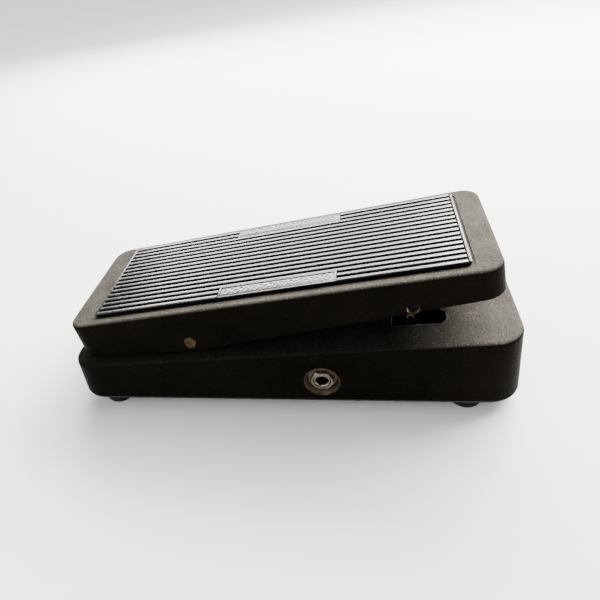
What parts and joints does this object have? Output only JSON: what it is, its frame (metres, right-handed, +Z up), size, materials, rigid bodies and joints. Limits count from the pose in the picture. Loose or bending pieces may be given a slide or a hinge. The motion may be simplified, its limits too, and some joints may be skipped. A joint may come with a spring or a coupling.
{
  "type": "guitar effects pedal",
  "caption": "Foot-operated rocker pedal for a guitar signal: ribbed treadle hinged on a wedge-shaped die-cast base, with side jack sockets and a toe switch.",
  "frame": {"origin": "centre of the bounding box at the surface the rubber feet stand on", "axes": "+X to the player's right (input socket side), +Y towards the toe end, +Z up"},
  "size_m": [0.102, 0.252, 0.0857],
  "materials": {
    "powder_coat": "fine-grained charcoal powder coat over die-cast zinc",
    "plate_steel": "black painted steel sheet",
    "foot_rubber": "matte black rubber",
    "mat_rubber": "satin black ribbed rubber",
    "zinc_steel": "zinc plated steel",
    "spring_steel": "spring steel",
    "rod_steel": "turned steel, slightly tarnished",
    "nickel": "nickel plate",
    "tinned": "tinned brass",
    "aluminium": "turned aluminium",
    "nylon": "natural nylon",
    "gear_nylon": "white acetal",
    "rack_acetal": "black acetal",
    "jack_plastic": "black moulded plastic",
    "switch_blue": "blue moulded switch case",
    "felt": "dark felt",
    "foam": "grey foam",
    "board_green": "green solder mask",
    "cap_blue": "sleeved electrolytic",
    "resistor_tan": "tan lacquer",
    "inductor_red": "lacquered ferrite can",
    "battery_case": "painted steel jacket"
  },
  "bodies": {
    "base": {"base_housing": "powder_coat", "base_plate": "plate_steel", "rubber_feet": "foot_rubber", "foot_screws": "zinc_steel", "pivot_bushings": "nylon", "heel_bumpers": "felt", "input_jack": "jack_plastic", "input_jack_bushing": "nickel", "input_jack_washer": "nickel", "input_jack_nut": "nickel", "output_jack": "jack_plastic", "output_jack_bushing": "nickel", "output_jack_washer": "nickel", "output_jack_nut": "nickel", "jack_terminals": "tinned", "power_jack": "jack_plastic", "power_jack_pin": "nickel", "footswitch_body": "switch_blue", "footswitch_bushing": "nickel", "footswitch_washer": "nickel", "footswitch_nut": "nickel", "footswitch_terminals": "tinned", "pot_bracket": "zinc_steel", "bracket_screws": "zinc_steel", "potentiometer": "zinc_steel", "pot_bushing": "nickel", "pot_nut": "nickel", "pot_terminals": "tinned", "rack_guide_spring": "spring_steel", "circuit_board": "board_green", "board_screws": "zinc_steel", "board_capacitors": "cap_blue", "board_resistors": "resistor_tan", "board_transistors": "jack_plastic", "inductor": "inductor_red", "battery_pad": "foam", "battery": "battery_case", "battery_terminals": "nickel", "battery_snap": "jack_plastic"},
    "treadle_assembly": {"treadle": "powder_coat", "tread_mat": "mat_rubber", "pivot_rod": "rod_steel", "rack_pin": "zinc_steel", "rack_pin_clip": "spring_steel", "switch_striker": "foot_rubber"},
    "rack_body": {"rack": "rack_acetal"},
    "pinion_assembly": {"pinion_gear": "gear_nylon", "pot_shaft": "aluminium"},
    "switch_plunger": {"footswitch_plunger": "nickel"}
  },
  "joints": [
    {"name": "treadle_pivot", "type": "hinge", "parent": "base", "child": "treadle_assembly", "pos_m": [0, -0.048, 0.0439], "axis": [1, 0, 0], "range_deg": [-7.6, 0]},
    {"name": "rack_slide", "type": "slide", "parent": "base", "child": "rack_body", "axis": [0, 0, 1], "range_m": [-0.0159, 0]},
    {"name": "pinion_spin", "type": "hinge", "parent": "base", "child": "pinion_assembly", "pos_m": [0.02, 0.0602, 0.0306], "axis": [1, 0, 0], "range_deg": [-128, 0]},
    {"name": "switch_press", "type": "slide", "parent": "base", "child": "switch_plunger", "axis": [0, 0, 1], "range_m": [-0.0025, 0], "stiffness_N_per_m": 900, "springref_m": 0.002}
  ],
  "couplings": [
    {"joint": "rack_slide", "follows": "treadle_pivot", "m_per_rad": 0.11902},
    {"joint": "pinion_spin", "follows": "treadle_pivot", "ratio": 16.531}
  ]
}
